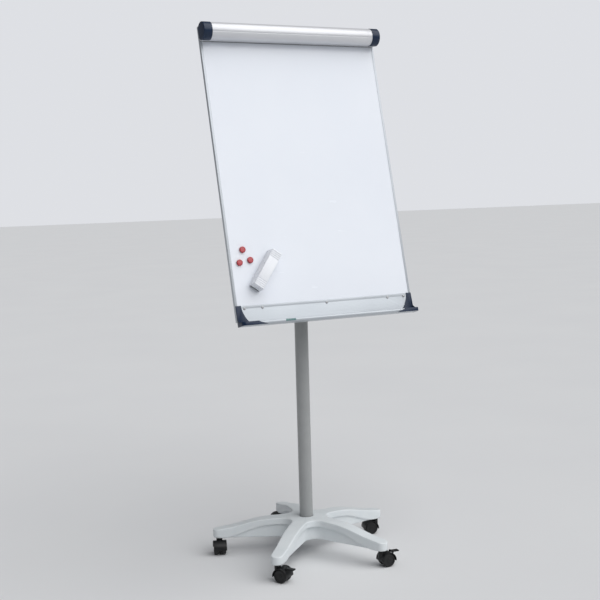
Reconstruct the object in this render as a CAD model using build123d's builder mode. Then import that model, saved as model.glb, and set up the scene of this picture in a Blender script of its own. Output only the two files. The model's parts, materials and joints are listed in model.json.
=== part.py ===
from build123d import *
import math
import os

# Flipchart easel: a five-arm castor base, a telescopic column, and a tilting board with a pad clamp
# along its top and a pen tray along its foot. Millimetres, +Z up. The board faces -Y.
# Everything is drawn about the column's axis and moved at the end, so that the origin lies on the
# floor under the middle of the whole easel.

# ---- driving dimensions -------------------------------------------------------------------------

# board
board_width = 700.0
board_height = 1060.0
board_lean = 14.5            # degrees back from upright
sheet_thickness = 0.8        # enamelled steel writing sheet
core_thickness = 10.4        # paper honeycomb
back_thickness = 0.5         # galvanised steel
frame_face = 8.0             # width of the frame's lip on the board's front
frame_wall = 1.6
frame_lip = 1.0

# pen tray
tray_depth = 48.0            # from the writing surface to the lip's front
tray_rise = 55.5             # height of the tray's back wall above the board's lower edge
tray_drop = 17.5             # the tray's floor lies this far below the board's lower edge
tray_wall = 2.2
lip_height = 13.0
corner_wall = 2.5            # plastic corner mouldings
corner_flange_top = 20.0
corner_flange_foot = 60.0
wing_length = 62.0
wing_taper = 32.0
tray_corner_radius = 15.0
screw_height = 45.0          # screw row above the board's lower edge
screw_outer = board_width / 2 - 32.0
screw_inner = board_width / 2 - 100.0
screw_places = (-screw_outer, -screw_inner, 0.0, screw_inner, screw_outer)

# pad clamp
bar_radius = 31.0
bar_wall = 2.0
bar_height = board_height - 28.6   # the bar's centre, measured up the board
bar_stand = bar_radius - 2.0       # and in front of the writing surface
bar_foot_angle = 205.0       # where the bar's round front ends, measured from the top of the bar
cap_width = 32.0
cap_wall = 1.2
cap_end = 3.0
hinge_height = board_height - 15.0
hinge_stand = bar_stand - 5.0
hinge_rod = 6.0
grip_width = 8.0
pad_pin = 8.0                # pins through the pad's holes
pad_pin_reach = 26.0         # how far a pin stands out of the writing surface
pad_pin_height = bar_height + 22.6 - bar_radius   # clear of the bar's foot
pad_pin_place = 140.0        # half the distance between the two pins

# column
column_outer = 50.0
column_inner = 40.0
tube_wall = 2.0
column_top = 1083.0          # mouth of the outer tube
inner_foot = 751.0           # lower end of the inner tube
pivot_height = 1451.9        # tilt bolt above the floor
pivot_on_board = 566.0       # tilt bolt, measured up the board
pivot_stand = 80.2           # and behind the writing surface

# castors
wheel_diameter = 50.0
wheel_width = 17.0
castor_trail = 20.0
castor_width = 50.0
hood_wall = 2.4
stem_diameter = 11.0
stem_length = 22.0
axle_diameter = 6.0
castor_headings = (-56.0, -1.0, 169.0, 160.0, 252.0)   # which way each wheel pair trails
braked_castors = (1, 2)

# base
arm_count = 5
first_arm = -134.7           # degrees, the arm at the front left
arm_reach = 333.9            # column axis to castor stem
tip_half_width = 23.0
root_half_width = 30.0
hub_radius = 54.0
arm_underside = wheel_diameter + 11.7
hub_top = arm_underside + 76.8
skirt_height = 26.0
arm_crown = 10.0             # rise of an arm's middle above a straight line from hub to tip
tip_height = 38.0
web_inset = 7.0
web_wall = 4.0
armpit_radius = 42.0

# loose things on the board
eraser_length = 152.0
eraser_width = 44.0
eraser_height = 44.0
eraser_felt_height = 10.0
eraser_place = (124.0 - board_width / 2, 172.0)
eraser_turn = 53.4
magnet_diameter = 22.0
magnet_height = 8.0
magnet_places = [(x - board_width / 2, u) for x, u in ((54.0, 251.0), (37.0, 206.0), (78.0, 213.0))]

# clearances
running = 0.05               # radial, shafts and guides
gap = 0.3                    # between bodies that move past each other
set_down = 0.05              # under things that only rest on the board

# ---- frames of reference ------------------------------------------------------------------------

lean_sin = math.sin(math.radians(board_lean))
lean_cos = math.cos(math.radians(board_lean))
foot_y = -(pivot_on_board * lean_sin + pivot_stand * lean_cos)
foot_z = pivot_height - pivot_on_board * lean_cos + pivot_stand * lean_sin

# On the board plane x runs along the board, y up the board and z out of the writing surface.
board = Plane(origin=(0, foot_y, foot_z), x_dir=(1, 0, 0), z_dir=(0, -lean_cos, lean_sin))


def across(x):
    """Section plane of the board at x: its own x runs up the board, its y out of the board."""
    return Plane(origin=board.from_local_coords((x, 0, 0)), x_dir=board.y_dir, z_dir=(1, 0, 0))


def level(height):
    """Plan plane of the board at a height: x along the board, y out of it, z down the board."""
    return Plane(origin=board.from_local_coords((0, height, 0)), x_dir=(1, 0, 0), z_dir=-board.y_dir)


def out_of_board(x, height, stand=0.0):
    return board.from_local_coords((x, height, stand))


def ring_point(centre, radius, angle):
    """A point on a circle in a section plane; 0 degrees is up the board, 90 is out of it."""
    turn = math.radians(angle)
    return (centre[0] + radius * math.cos(turn), centre[1] + radius * math.sin(turn))


half_width = board_width / 2
bodies = {}
pieces = {}


def keep(part, name, body, *more):
    """File one finished piece, or a group of like pieces, under its name and its body."""
    pieces[name] = [solid for made in (part, *more) for solid in made.part.solids()]
    bodies.setdefault(body, []).append(name)


# ---- star base ----------------------------------------------------------------------------------

arm_angles = [first_arm + 360.0 / arm_count * k for k in range(arm_count)]
arm_end = arm_reach + tip_half_width
shoulder = hub_radius + 4.0
tip_top = arm_underside + tip_height
arm_middle = (arm_reach * 0.55, (hub_top + tip_top) / 2 + arm_crown)
tip_slope = 0.16
tip_fall = tip_slope * (2 * tip_half_width + 5)   # fall of the top across the tip
castor_height = arm_underside - gap


def star_outline(inset):
    """Plan of the arms, each tapering to a round tip about its castor, with rounded armpits."""
    with BuildSketch() as plan:
        for angle in arm_angles:
            with BuildSketch(mode=Mode.PRIVATE) as arm:
                Polygon(
                    (0, root_half_width - inset), (0, inset - root_half_width),
                    (arm_reach, inset - tip_half_width), (arm_reach, tip_half_width - inset), align=None,
                )
                with Locations((arm_reach, 0)):
                    Circle(tip_half_width - inset)
            add(arm.sketch.rotate(Axis.Z, angle))
        armpits = [v for v in plan.vertices() if math.hypot(v.X, v.Y) < arm_reach / 3]
        fillet(armpits, armpit_radius)
    return plan.sketch


def arm_profile(drop):
    """The line of an arm's top from the hub to its tip, lowered by drop."""
    return Spline(
        (shoulder, hub_top - drop), (arm_middle[0], arm_middle[1] - drop),
        (arm_reach - tip_half_width, tip_top - drop),
        tangents=((1, -0.05), (1, -tip_slope)),
    )


with BuildPart() as skirt_band:
    with BuildSketch(Plane.XZ):
        with BuildLine():
            crown = arm_profile(0)
            Line((0, hub_top), crown @ 0)
            Line(crown @ 1, (arm_end + 5, tip_top - tip_fall))
            Line((arm_end + 5, tip_top - tip_fall), (arm_end + 5, arm_underside))
            Line((arm_end + 5, arm_underside), (arm_reach - tip_half_width, arm_underside))
            hem = Spline(
                (arm_reach - tip_half_width, arm_underside),
                (arm_middle[0], arm_middle[1] - skirt_height),
                (shoulder, hub_top - skirt_height),
                tangents=((-1, tip_slope), (-1, 0.05)),
            )
            Line(hem @ 1, (0, hub_top - skirt_height))
            Line((0, hub_top - skirt_height), (0, hub_top))
        make_face()
    revolve(axis=Axis.Z)

with BuildPart() as web_band:
    with BuildSketch(Plane.XZ):
        with BuildLine():
            low = arm_profile(web_wall)
            Line((0, hub_top - web_wall), low @ 0)
            Line(low @ 1, (arm_end + 5, tip_top - tip_fall - web_wall))
            Line((arm_end + 5, tip_top - tip_fall - web_wall), (arm_end + 5, arm_underside))
            Line((arm_end + 5, arm_underside), (0, arm_underside))
            Line((0, arm_underside), (0, hub_top - web_wall))
        make_face()
    revolve(axis=Axis.Z)

with BuildPart() as hollow_band:
    with BuildSketch(Plane.XZ):
        with BuildLine():
            roof = arm_profile(web_wall + 1)
            Line((column_outer / 2 + 12, hub_top - web_wall - 1), roof @ 0)
            Line(roof @ 1, (arm_reach - tip_half_width, arm_underside - 5))
            Line((arm_reach - tip_half_width, arm_underside - 5), (column_outer / 2 + 12, arm_underside - 5))
            Line((column_outer / 2 + 12, arm_underside - 5), (column_outer / 2 + 12, hub_top - web_wall - 1))
        make_face()
    revolve(axis=Axis.Z)


sleeve_radius = stem_diameter / 2 + 2.0
sleeve_depth = stem_length + 2.0
hub_floor = 6.0
column_foot = arm_underside + hub_floor
foot_bolt = 10.0
castor_places = [
    (arm_reach * math.cos(math.radians(a)), arm_reach * math.sin(math.radians(a))) for a in arm_angles
]

skirt_plan = star_outline(0)
web_plan = star_outline(web_inset)
hollow_plan = star_outline(web_inset + web_wall)

with BuildPart() as arm_skirts:
    with BuildSketch():
        add(skirt_plan)
    extrude(amount=hub_top + 10)
    add(skirt_band.part, mode=Mode.INTERSECT)

with BuildPart() as arm_webs:
    with BuildSketch():
        add(web_plan)
    extrude(amount=hub_top + 10)
    add(web_band.part, mode=Mode.INTERSECT)

with BuildPart() as arm_hollows:
    with BuildSketch():
        add(hollow_plan)
    extrude(amount=hub_top + 10)
    add(hollow_band.part, mode=Mode.INTERSECT)

with BuildPart() as star_base:
    add(arm_skirts.part)
    add(arm_webs.part)
    add(arm_hollows.part, mode=Mode.SUBTRACT)
    with BuildSketch(Plane.XY.offset(column_foot)):
        Circle(column_outer / 2 + running)
    extrude(amount=hub_top, mode=Mode.SUBTRACT)
    with BuildSketch():
        Circle(foot_bolt / 2 + 0.25)
    extrude(amount=column_foot, mode=Mode.SUBTRACT)
    with BuildSketch():
        with Locations(*castor_places):
            Circle(sleeve_radius)
    extrude(amount=arm_underside + sleeve_depth, mode=Mode.SUBTRACT)
keep(star_base, "star_base", "base")

with BuildPart() as castor_sockets:
    with BuildSketch(Plane.XY.offset(arm_underside)):
        with Locations(*castor_places):
            Circle(sleeve_radius)
            Circle(stem_diameter / 2 + running, mode=Mode.SUBTRACT)
    extrude(amount=sleeve_depth)
keep(castor_sockets, "castor_sockets", "base")

# ---- column -------------------------------------------------------------------------------------

knob_height = column_top - 22.0
knob_stud = 8.0
knob_radius = 19.0
knob_grip = 17.0
plug_thickness = 14.0
washer_thickness = 2.0
bolt_head = 6.4
collar_wall = 6.0
collar_over = 12.0
collar_under = 46.0
boss_reach = column_outer / 2 + 16.0
behind_column = Plane(origin=(0, 0, knob_height), x_dir=(1, 0, 0), z_dir=(0, 1, 0))

with BuildPart() as outer_tube:
    with BuildSketch(Plane.XY.offset(column_foot)):
        Circle(column_outer / 2)
        Circle(column_outer / 2 - tube_wall, mode=Mode.SUBTRACT)
    extrude(amount=column_top - column_foot)
    with BuildSketch(behind_column):
        Circle(knob_stud / 2 + 0.5)
    extrude(amount=column_outer, mode=Mode.SUBTRACT)
keep(outer_tube, "column_outer_tube", "base")

with BuildPart() as foot_plug:
    with BuildSketch(Plane.XY.offset(column_foot)):
        Circle(column_outer / 2 - tube_wall)
        Circle(foot_bolt / 2, mode=Mode.SUBTRACT)
    extrude(amount=plug_thickness)

with BuildPart() as foot_washer:
    with BuildSketch(Plane.XY.offset(arm_underside)):
        Circle(15)
        Circle(foot_bolt / 2, mode=Mode.SUBTRACT)
    extrude(amount=-washer_thickness)

with BuildPart() as foot_screw:
    with BuildSketch(Plane.XY.offset(arm_underside - washer_thickness)):
        RegularPolygon(radius=9.2, side_count=6)
    extrude(amount=-bolt_head)
    with BuildSketch(Plane.XY.offset(arm_underside - washer_thickness)):
        Circle(foot_bolt / 2)
    extrude(amount=washer_thickness + hub_floor + plug_thickness - 1)
keep(foot_plug, "column_foot_bolt", "base", foot_washer, foot_screw)

with BuildPart() as collar:
    with BuildSketch(Plane.XY.offset(column_top - collar_under)):
        Circle(column_outer / 2 + collar_wall)
    extrude(amount=collar_under + collar_over)
    fillet(collar.edges().group_by(Axis.Z)[-1], 3)
    with BuildSketch(behind_column):
        Circle(12)
    extrude(amount=boss_reach)
    with BuildSketch(Plane.XY.offset(column_top - collar_under)):
        Circle(column_outer / 2)
    extrude(amount=collar_under, mode=Mode.SUBTRACT)
    with BuildSketch(Plane.XY.offset(column_top)):
        Circle(column_inner / 2 + 2 * running)
    extrude(amount=collar_over, mode=Mode.SUBTRACT)
    with BuildSketch(behind_column):
        Circle(knob_stud / 2 + running)
    extrude(amount=boss_reach, mode=Mode.SUBTRACT)
keep(collar, "column_collar", "base")


def hand_knob(plane, start, stud_from, stud):
    """A six-lobed hand knob on a stud; it turns about the plane's normal and begins at start."""
    with BuildPart() as grip:
        with BuildSketch(plane.offset(start)):
            Circle(stud / 2 + 6)
        extrude(amount=5)
        with BuildSketch(plane.offset(start + 5)):
            Circle(knob_radius - 3)
            with PolarLocations(knob_radius - 4, 6):
                Circle(5)
        extrude(amount=knob_grip)
        fillet(grip.faces().sort_by(Axis(plane.origin, plane.z_dir))[-1].edges(), 2)
        with BuildSketch(plane.offset(stud_from)):
            Circle(stud / 2)
        extrude(amount=start + knob_grip - stud_from, mode=Mode.SUBTRACT)
    with BuildPart() as shank:
        with BuildSketch(plane.offset(stud_from)):
            Circle(stud / 2)
        extrude(amount=start + knob_grip - stud_from)
    return grip, shank


height_grip, height_stud = hand_knob(behind_column, boss_reach + gap, column_inner / 2 + gap, knob_stud)
keep(height_grip, "height_knob", "height_knob", height_stud)

bush_length = 46.0
with BuildPart() as glide_bush:
    with BuildSketch(Plane.XY.offset(inner_foot - gap - 2)):
        Circle(column_outer / 2 - tube_wall - running)
    extrude(amount=bush_length)
    with BuildSketch(Plane.XY.offset(inner_foot - gap)):
        Circle(column_inner / 2 + running)
    extrude(amount=bush_length, mode=Mode.SUBTRACT)
    with BuildSketch(Plane.XY.offset(inner_foot - gap - 2)):
        Circle(column_inner / 2 - 4)
    extrude(amount=bush_length, mode=Mode.SUBTRACT)
keep(glide_bush, "glide_bush", "height_slide")

# ---- head and tilt ------------------------------------------------------------------------------

head_radius = 27.0
head_under = 66.0
head_over = 22.0
socket_top = pivot_height - 20.0
tilt_bolt = 10.0
ear_wall = 4.0
ear_face = head_radius + gap
bolt_line = Plane(origin=(0, 0, pivot_height), x_dir=(0, 1, 0), z_dir=(1, 0, 0))

with BuildPart() as inner_tube:
    with BuildSketch(Plane.XY.offset(inner_foot)):
        Circle(column_inner / 2)
        Circle(column_inner / 2 - tube_wall, mode=Mode.SUBTRACT)
    extrude(amount=socket_top - inner_foot)
keep(inner_tube, "column_inner_tube", "head")

with BuildPart() as head_block:
    with BuildSketch(Plane.XY.offset(pivot_height - head_under)):
        Circle(head_radius)
    extrude(amount=head_under + head_over)
    fillet(head_block.edges().group_by(Axis.Z)[-1], 4)
    with BuildSketch(Plane.XY.offset(pivot_height - head_under)):
        Circle(column_inner / 2)
    extrude(amount=socket_top - pivot_height + head_under, mode=Mode.SUBTRACT)
    with BuildSketch(bolt_line):
        Circle(tilt_bolt / 2 + running)
    extrude(amount=head_radius, both=True, mode=Mode.SUBTRACT)
keep(head_block, "head_block", "head")

# ---- board --------------------------------------------------------------------------------------

core_front = -sheet_thickness
core_back = core_front - core_thickness
stack_back = core_back - back_thickness
frame_back = stack_back - frame_lip
fit_in_frame = 0.2
stack_half = half_width - frame_wall - fit_in_frame
stack_height = board_height - 2 * (frame_wall + fit_in_frame)
rail_place = 110.0
rail_width = 30.0
rail_depth = 20.0
rail_foot = 24.0
rail_top = board_height - 24.0
rail_back = stack_back - rail_depth
bracket_wall = 4.0
bracket_back = rail_back - bracket_wall
bracket_half_height = 60.0
small_screw = 5.0
board_screws = [(x, u) for x in (-rail_place, rail_place) for u in (rail_foot + 26, 400, 730, rail_top - 26)]
bracket_screws = [
    (x, pivot_on_board + s * (bracket_half_height - 16)) for x in (-rail_place, rail_place) for s in (-1, 1)
]
board_screw_end = core_front - 3.0
tray_front = frame_lip + tray_wall
tray_screw = 4.0
tray_screw_end = core_back + 3.0
tray_screws_at = [(x, screw_height) for x in screw_places]


with BuildPart() as writing_sheet:
    with BuildSketch(board.offset(core_front)):
        with Locations((0, board_height / 2)):
            Rectangle(2 * stack_half, stack_height)
        with Locations(*tray_screws_at):
            Circle(tray_screw / 2, mode=Mode.SUBTRACT)
    extrude(amount=sheet_thickness)
keep(writing_sheet, "writing_sheet", "board")

with BuildPart() as board_core:
    with BuildSketch(board.offset(core_back)):
        with Locations((0, board_height / 2)):
            Rectangle(2 * stack_half, stack_height)
    extrude(amount=core_thickness)
    with BuildSketch(board.offset(core_front)):
        with Locations(*tray_screws_at):
            Circle(tray_screw / 2)
    extrude(amount=tray_screw_end - core_front, mode=Mode.SUBTRACT)
    with BuildSketch(board.offset(core_back)):
        with Locations(*board_screws):
            Circle(small_screw / 2)
    extrude(amount=board_screw_end - core_back, mode=Mode.SUBTRACT)
keep(board_core, "board_core", "board")

with BuildPart() as back_sheet:
    with BuildSketch(board.offset(stack_back)):
        with Locations((0, board_height / 2)):
            Rectangle(2 * stack_half, stack_height)
        with Locations(*board_screws):
            Circle(small_screw / 2, mode=Mode.SUBTRACT)
    extrude(amount=back_thickness)
keep(back_sheet, "back_sheet", "board")


def edge_channel(plane, length, along):
    """Frame channel with its back at the plane's x = 0; its mouth, of the stack's depth, faces +x."""
    with BuildPart() as channel:
        with BuildSketch(plane):
            with Locations((0, frame_back)):
                Rectangle(frame_face, frame_lip - frame_back, align=(Align.MIN, Align.MIN))
            with Locations((frame_wall, stack_back)):
                Rectangle(frame_face, -stack_back, align=(Align.MIN, Align.MIN), mode=Mode.SUBTRACT)
        extrude(amount=length * along)
    return channel


left_side = edge_channel(
    Plane(origin=out_of_board(-half_width, 0), x_dir=(1, 0, 0), z_dir=-board.y_dir), board_height, -1)
with BuildPart() as right_side:
    mirror(left_side.part, about=Plane.YZ)
keep(left_side, "frame_sides", "board", right_side)

between_sides = board_width - 2 * frame_face
foot_rail = edge_channel(across(-between_sides / 2), between_sides, 1)
with BuildPart() as top_rail:
    mirror(foot_rail.part, about=Plane(origin=out_of_board(0, board_height / 2), z_dir=board.y_dir))
keep(foot_rail, "frame_top_and_bottom", "board", top_rail)

with BuildPart() as rails:
    with BuildSketch(level(rail_foot)):
        with Locations((-rail_place, stack_back - rail_depth / 2), (rail_place, stack_back - rail_depth / 2)):
            Rectangle(rail_width, rail_depth)
            Rectangle(rail_width - 2 * tube_wall, rail_depth - 2 * tube_wall, mode=Mode.SUBTRACT)
    extrude(amount=rail_foot - rail_top)
    with BuildSketch(board.offset(rail_back)):
        with Locations(*board_screws):
            Circle(small_screw / 2)
    extrude(amount=rail_depth, mode=Mode.SUBTRACT)
    with BuildSketch(board.offset(rail_back)):
        with Locations(*bracket_screws):
            Circle(small_screw / 2)
    extrude(amount=tube_wall, mode=Mode.SUBTRACT)
keep(rails, "back_rails", "board")

with BuildPart() as bracket:
    with BuildSketch(board.offset(bracket_back)):
        with Locations((0, pivot_on_board)):
            Rectangle(2 * rail_place + rail_width, 2 * bracket_half_height)
        with Locations(*bracket_screws):
            Circle(small_screw / 2, mode=Mode.SUBTRACT)
    extrude(amount=bracket_wall)
    for side in (ear_face, -ear_face - ear_wall):
        with BuildSketch(across(side)):
            with BuildLine():
                Polyline(
                    (pivot_on_board - 45, bracket_back), (pivot_on_board + 45, bracket_back),
                    (pivot_on_board + 17, -pivot_stand), (pivot_on_board - 17, -pivot_stand), close=True,
                )
            make_face()
            with Locations((pivot_on_board, -pivot_stand)):
                Circle(17)
                Circle(tilt_bolt / 2, mode=Mode.SUBTRACT)
        extrude(amount=ear_wall)
keep(bracket, "tilt_bracket", "board")

ear_outside = ear_face + ear_wall
with BuildPart() as pivot_bolt:
    with BuildSketch(bolt_line.offset(-ear_outside)):
        RegularPolygon(radius=9.2, side_count=6)
    extrude(amount=-bolt_head)
    with BuildSketch(bolt_line.offset(-ear_outside)):
        Circle(tilt_bolt / 2)
    extrude(amount=2 * ear_outside + knob_grip)
keep(pivot_bolt, "tilt_bolt", "board")

with BuildPart() as tilt_grip:
    with BuildSketch(bolt_line.offset(ear_outside + gap)):
        Circle(tilt_bolt / 2 + 6)
    extrude(amount=5)
    with BuildSketch(bolt_line.offset(ear_outside + gap + 5)):
        Circle(knob_radius - 3)
        with PolarLocations(knob_radius - 4, 6):
            Circle(5)
    extrude(amount=knob_grip)
    fillet(tilt_grip.faces().sort_by(Axis.X)[-1].edges(), 2)
    with BuildSketch(bolt_line.offset(ear_outside)):
        Circle(tilt_bolt / 2 + running)
    extrude(amount=knob_grip + gap, mode=Mode.SUBTRACT)
keep(tilt_grip, "tilt_knob", "tilt_knob")


def pan_screws(places, seat, end, shank, head, height, outward):
    """Pan-head screws on the board's plane: heads on the seat, shanks that run to the end."""
    with BuildPart() as screws:
        with BuildSketch(board.offset(seat)):
            with Locations(*places):
                Circle(head / 2)
        extrude(amount=height * outward)
        with BuildSketch(board.offset(seat)):
            with Locations(*places):
                Circle(shank / 2)
        extrude(amount=end - seat)
    return screws


rear_screws = pan_screws(board_screws, rail_back, board_screw_end, small_screw, 10, 3, -1)
hold_screws = pan_screws(bracket_screws, bracket_back, rail_back + tube_wall, small_screw, 10, 3, -1)
keep(rear_screws, "rail_screws", "board", hold_screws)

# ---- pen tray -----------------------------------------------------------------------------------

tray_half = half_width - corner_wall
lip_top = lip_height - tray_drop
lip_radius = lip_height / 2
lip_centre = (lip_radius - tray_drop, tray_depth - lip_radius)

with BuildPart() as pen_tray:
    with BuildSketch(across(-tray_half)):
        with Locations((-tray_drop, frame_lip)):
            Rectangle(tray_rise + tray_drop, tray_wall, align=(Align.MIN, Align.MIN))
            Rectangle(tray_wall, lip_centre[1] - frame_lip, align=(Align.MIN, Align.MIN))
        with Locations(lip_centre):
            Circle(lip_radius)
            Circle(lip_radius - tray_wall, mode=Mode.SUBTRACT)
        with Locations((tray_rise - tray_wall, 0)):
            Rectangle(tray_wall, frame_lip, align=(Align.MIN, Align.MIN))
    extrude(amount=2 * tray_half)
    tray_corner = tray_corner_radius - corner_wall
    with BuildSketch(level(tray_rise)):
        for side in (-1, 1):
            corner_x = side * (tray_half - tray_corner)
            with Locations((corner_x + side * tray_corner, tray_depth)):
                Rectangle(2 * tray_corner, 2 * tray_corner)
            with Locations((corner_x, tray_depth - tray_corner)):
                Circle(tray_corner, mode=Mode.SUBTRACT)
    extrude(amount=tray_rise + tray_drop + 1, mode=Mode.SUBTRACT)
    with BuildSketch(board):
        for side in (-1, 1):
            with Locations((side * tray_half, tray_rise)):
                Rectangle(2 * (tray_half - between_sides / 2 + fit_in_frame), 4 * tray_wall)
    extrude(amount=frame_lip, mode=Mode.SUBTRACT)
    with BuildSketch(board.offset(frame_lip)):
        with Locations(*tray_screws_at):
            Circle(tray_screw / 2)
    extrude(amount=tray_wall, mode=Mode.SUBTRACT)
keep(pen_tray, "pen_tray", "board")

tray_screws = pan_screws(tray_screws_at, tray_front, tray_screw_end, tray_screw, 9, 2.2, 1)
keep(tray_screws, "tray_screws", "board")

# Corner moulding: a flange over the tray's back wall, an end wall, and a wing round the lip's corner.
moulding_foot = -tray_drop - 0.6
flange_wall = 2.0
flange_foot = tray_wall - tray_drop
flange_front = tray_front + flange_wall
moulding_front = tray_depth + corner_wall
corner_top = tray_rise + 0.6
wing_end = wing_taper - half_width + wing_length
wing_top = lip_top - 0.4
wing_start = half_width - wing_length

with BuildPart() as corner_left:
    with BuildSketch(board.offset(tray_front)):
        with BuildLine():
            Polyline(
                (-half_width + corner_flange_foot, flange_foot), (-half_width, flange_foot),
                (-half_width, corner_top), (-half_width + corner_flange_top, corner_top),
            )
            ThreePointArc(
                (-half_width + corner_flange_top, corner_top),
                (-half_width + corner_flange_top + 8.0, tray_rise * 0.42),
                (-half_width + corner_flange_foot, flange_foot),
            )
        make_face()
    extrude(amount=flange_wall)
    with BuildSketch(across(-half_width)):
        Polygon(
            (corner_top, frame_lip), (corner_top, flange_front), (8, flange_front + 3),
            (wing_top, tray_depth * 0.55), (wing_top, moulding_front - tray_corner_radius),
            (moulding_foot, moulding_front - tray_corner_radius), (moulding_foot, frame_lip), align=None,
        )
    extrude(amount=corner_wall)
    with BuildSketch(level(wing_top)) as wing_plan:
        Rectangle(2 * half_width, moulding_front, align=(Align.CENTER, Align.MIN))
        fillet(wing_plan.vertices().group_by(Axis.Y)[-1], tray_corner_radius)
        with BuildSketch(mode=Mode.SUBTRACT) as wing_inside:
            Rectangle(2 * tray_half, tray_depth, align=(Align.CENTER, Align.MIN))
            fillet(wing_inside.vertices().group_by(Axis.Y)[-1], tray_corner_radius - corner_wall)
        with Locations((wing_end, 0)):
            Rectangle(2 * board_width, 3 * tray_depth, align=(Align.MIN, Align.CENTER), mode=Mode.SUBTRACT)
        Rectangle(2 * board_width, 2 * frame_lip, mode=Mode.SUBTRACT)
    extrude(amount=wing_top - moulding_foot)
    with BuildSketch(board.offset(tray_depth)):
        Polygon(
            (-wing_start, wing_top + 1), (-wing_start, wing_top - 2), (wing_end, moulding_foot),
            (wing_end + 5, moulding_foot), (wing_end + 5, wing_top + 1), align=None,
        )
    extrude(amount=corner_wall + 1, mode=Mode.SUBTRACT)
with BuildPart() as corner_right:
    mirror(corner_left.part, about=Plane.YZ)
keep(corner_left, "tray_corner_left", "board")
keep(corner_right, "tray_corner_right", "board")

label_width = 38.0
label_place = -169.5
label_film = 0.3
label_turn = 48.0        # where it starts round the lip, in degrees from the lip's top
label_sweep = 70.0
with BuildPart() as label:
    with BuildSketch(across(label_place - label_width / 2)):
        with BuildLine():
            label_back = CenterArc(lip_centre, lip_radius, label_turn, label_sweep)
            label_face = CenterArc(lip_centre, lip_radius + label_film, label_turn, label_sweep)
            Line(label_back @ 0, label_face @ 0)
            Line(label_back @ 1, label_face @ 1)
        make_face()
    extrude(amount=label_width)
keep(label, "tray_label", "board")

# ---- pad clamp ----------------------------------------------------------------------------------

bar_centre = (bar_height, bar_stand)
hinge = (hinge_height, hinge_stand)
bar_end = half_width + gap
rail_end = half_width - 12.0
plate_wall = 2.2
plate_top = board_height - frame_face - 0.5
track_half = 8.8
track_wall = 1.4
track_lip = 1.5
track_height = 7.0
pin_slot_half = pad_pin / 2 + 0.5
fin_radius = 15.5
fin_wall = 1.5
fin_start = math.acos((plate_top - hinge_height) / fin_radius)   # where the fin leaves its wall
fin_sweep = math.degrees(fin_start) + 12
lug_width = 10.0
lug_places = (-300.0, -100.0, 100.0, 300.0)

with BuildPart() as clamp_mount:
    with BuildSketch(across(-rail_end)):
        with Locations((pad_pin_height - track_half - track_wall, 0)):
            Rectangle(plate_top - pad_pin_height + track_half + track_wall, plate_wall,
                      align=(Align.MIN, Align.MIN))
        for side in (-1, 1):
            with Locations((pad_pin_height + side * (track_half + track_wall / 2), 0)):
                Rectangle(track_wall, track_height, align=(Align.CENTER, Align.MIN))
            with Locations((pad_pin_height + side * (track_half + track_wall + pin_slot_half) / 2,
                            track_height - track_lip)):
                Rectangle(track_half + track_wall - pin_slot_half, track_lip, align=(Align.CENTER, Align.MIN))
        with Locations((plate_top - fin_wall, 0)):
            Rectangle(fin_wall, hinge_stand - fin_radius * math.sin(fin_start) + fin_wall,
                      align=(Align.MIN, Align.MIN))
        with BuildLine():
            fin_outer = CenterArc(hinge, fin_radius, -math.degrees(fin_start), fin_sweep)
            fin_inner = CenterArc(hinge, fin_radius - fin_wall, -math.degrees(fin_start), fin_sweep)
            Line(fin_outer @ 0, fin_inner @ 0)
            Line(fin_outer @ 1, fin_inner @ 1)
        make_face()
    extrude(amount=2 * rail_end)
    for place in lug_places:
        with BuildSketch(across(place - lug_width / 2)):
            with Locations((hinge_height, 0)):
                Rectangle(hinge_rod + 4, hinge_stand, align=(Align.CENTER, Align.MIN))
            with Locations(hinge):
                Circle(hinge_rod / 2 + 2)
                Circle(hinge_rod / 2, mode=Mode.SUBTRACT)
        extrude(amount=lug_width)
keep(clamp_mount, "clamp_mount", "board")

boss_length = 10.0
rod_end = bar_end + cap_end - 1.2
with BuildPart() as rod:
    with BuildSketch(across(-rod_end)):
        with Locations(hinge):
            Circle(hinge_rod / 2)
    extrude(amount=2 * rod_end)
keep(rod, "clamp_hinge_rod", "board")

coil_wire = 1.4
coil_turns = 9
coil_inner = hinge_rod / 2 + 0.3


def torsion_spring(start):
    """A close-wound torsion spring on the hinge rod, with one leg on the rail and one towards the bar."""
    with BuildPart() as spring:
        with BuildSketch(across(start)):
            with Locations(hinge):
                Circle(coil_inner + 0.9 * coil_wire)
                Circle(coil_inner, mode=Mode.SUBTRACT)
        extrude(amount=coil_wire * coil_turns)
        for turn in range(coil_turns):
            ring = across(start + coil_wire * (turn + 0.5))
            with BuildSketch(ring.offset(-coil_wire * 0.3)):
                with Locations(hinge):
                    Circle(coil_inner + coil_wire)
                    Circle(coil_inner, mode=Mode.SUBTRACT)
            extrude(amount=coil_wire * 0.6)
        spring_legs = ((0.5, plate_wall, hinge_stand), (coil_turns - 0.5, hinge_stand, hinge_stand + 17))
        for leg, low, high in spring_legs:
            with BuildSketch(level(hinge_height + coil_inner + coil_wire / 2)):
                with Locations((start + coil_wire * leg, low)):
                    Rectangle(coil_wire, high - low, align=(Align.CENTER, Align.MIN))
            extrude(amount=coil_wire / 2, both=True)
    return spring


left_spring = torsion_spring(lug_places[1] + lug_width)
right_spring = torsion_spring(lug_places[2] - lug_width - coil_wire * coil_turns)
keep(left_spring, "clamp_springs", "board", right_spring)

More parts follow.
